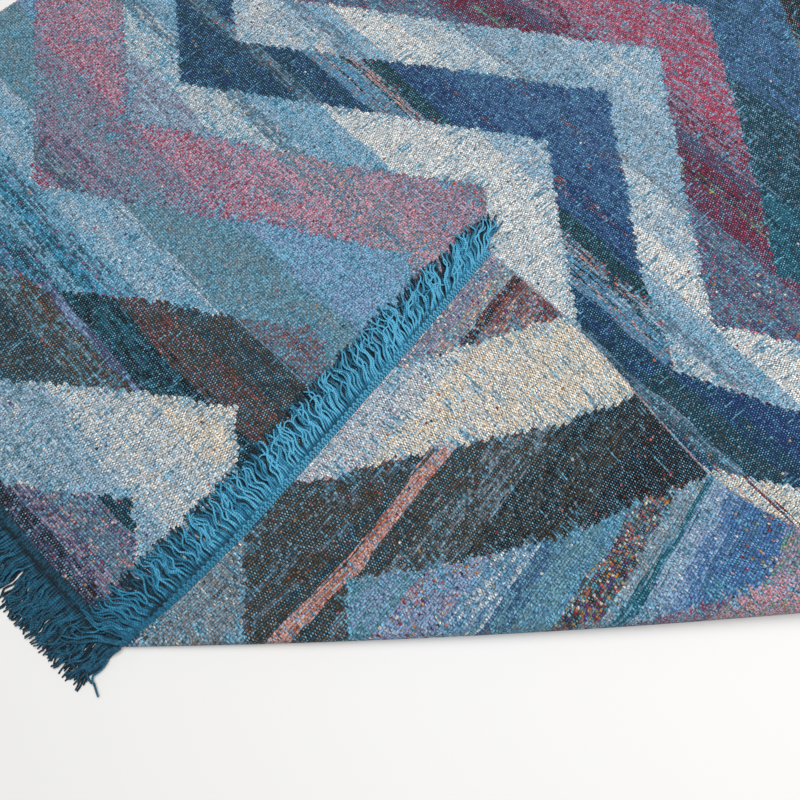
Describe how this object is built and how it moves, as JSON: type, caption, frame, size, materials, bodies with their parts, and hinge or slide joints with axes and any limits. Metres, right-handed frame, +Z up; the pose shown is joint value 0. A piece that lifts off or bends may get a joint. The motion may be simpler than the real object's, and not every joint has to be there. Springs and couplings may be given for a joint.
{
  "type": "wool rug",
  "caption": "Flat-woven wool rug lying on a floor, with one corner turned over onto it and a knotted warp fringe at both ends.",
  "frame": {"origin": "on the floor, under the middle of the rug's box with its fringes", "axes": "+X along the weft towards the side with the turned corner, +Y along the warp away from that corner's end, +Z up"},
  "size_m": [1.6, 2.4299, 0.0681],
  "materials": {
    "woven_wool": "plain weave of uneven wool weft over blue warp, matt",
    "warp_wool": "loosely twisted blue wool yarn, matt"
  },
  "bodies": {
    "root": {"rug_field": "woven_wool", "fringe_far_end": "warp_wool", "fringe_near_end": "warp_wool", "fringe_turned_corner": "warp_wool"}
  },
  "joints": []
}
